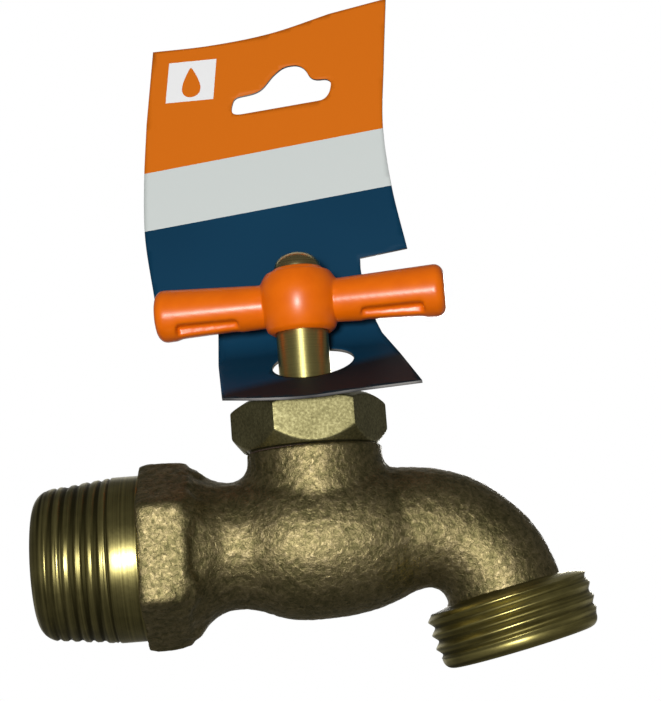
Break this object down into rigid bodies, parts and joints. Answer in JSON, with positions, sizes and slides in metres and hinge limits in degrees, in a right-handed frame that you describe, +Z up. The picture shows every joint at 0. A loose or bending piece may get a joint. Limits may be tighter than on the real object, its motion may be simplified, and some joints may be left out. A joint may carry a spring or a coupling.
{
  "type": "garden hose tap",
  "caption": "Cast garden tap with a pipe thread inlet, a bent spout with a hose thread, a T handle on a rising stem and a hang card.",
  "frame": {"origin": "on the inlet axis, at the shoulder where the pipe thread's plain land meets the cast hexagon", "axes": "+X along the inlet axis into the tap and towards the spout, +Z up the stem, -Y is the pictured side"},
  "size_m": [0.0898, 0.0417, 0.1209],
  "materials": {
    "cast_bronze": "rough cast skin, machined threads",
    "bonnet_brass": "satin",
    "stem_brass": "turned and polished",
    "orange_paint": "gloss enamel",
    "nitrile_rubber": "matt",
    "fibre": "pressed fibre",
    "printed_card": "glossy printed card, plain coloured bands"
  },
  "bodies": {
    "root": {"valve_body": "cast_bronze", "bonnet": "bonnet_brass", "bonnet_gasket": "fibre", "stem_seal": "nitrile_rubber"},
    "jumper": {"washer_holder": "stem_brass", "seat_washer": "nitrile_rubber", "washer_screw": "stem_brass"},
    "spindle": {"stem": "stem_brass", "handle": "orange_paint", "handle_screw": "stem_brass"},
    "card": {"hang_card": "printed_card"}
  },
  "joints": [
    {"name": "stem_rise", "type": "slide", "parent": "root", "child": "jumper", "axis": [0, 0, 1], "range_m": [0, 0.005]},
    {"name": "handle_turn", "type": "hinge", "parent": "jumper", "child": "spindle", "pos_m": [0.0284, 0, 0.04], "axis": [0, 0, 1], "range_deg": [0, 720]},
    {"name": "card_swivel", "type": "hinge", "parent": "root", "child": "card", "pos_m": [0.0284, 0, 0.028], "axis": [0, 0, 1], "range_deg": [0, 720]}
  ],
  "couplings": [
    {"joint": "stem_rise", "follows": "handle_turn", "m_per_rad": 0.00039789},
    {"joint": "card_swivel", "follows": "handle_turn", "ratio": 1}
  ]
}
